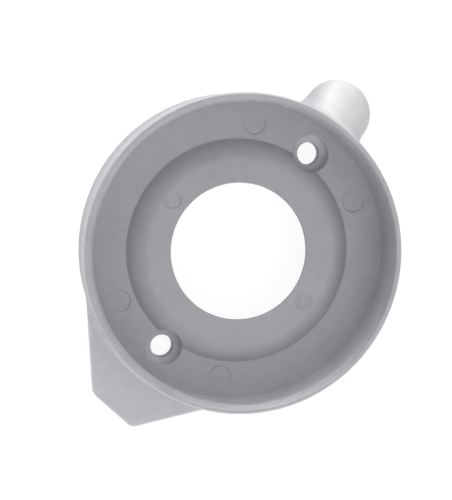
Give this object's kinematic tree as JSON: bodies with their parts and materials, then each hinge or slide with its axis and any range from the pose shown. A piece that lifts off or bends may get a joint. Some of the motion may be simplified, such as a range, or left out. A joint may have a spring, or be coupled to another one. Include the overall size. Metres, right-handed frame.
{
  "type": "sacrificial anode",
  "caption": "Dished ring anode of cast zinc for a propeller shaft, with counterbored screw holes, a raised hub round the bore, a flat wing lug and a sloping nose lug.",
  "frame": {"origin": "on the bore axis, in the plane of the flat mating face", "axes": "+Z along the bore axis out of the dish, +Y through the screw holes towards the nose lug"},
  "size_m": [0.125, 0.1621, 0.027],
  "materials": {
    "cast_zinc": "matt, as cast"
  },
  "bodies": {
    "root": {"ring_anode": "cast_zinc"}
  },
  "joints": []
}
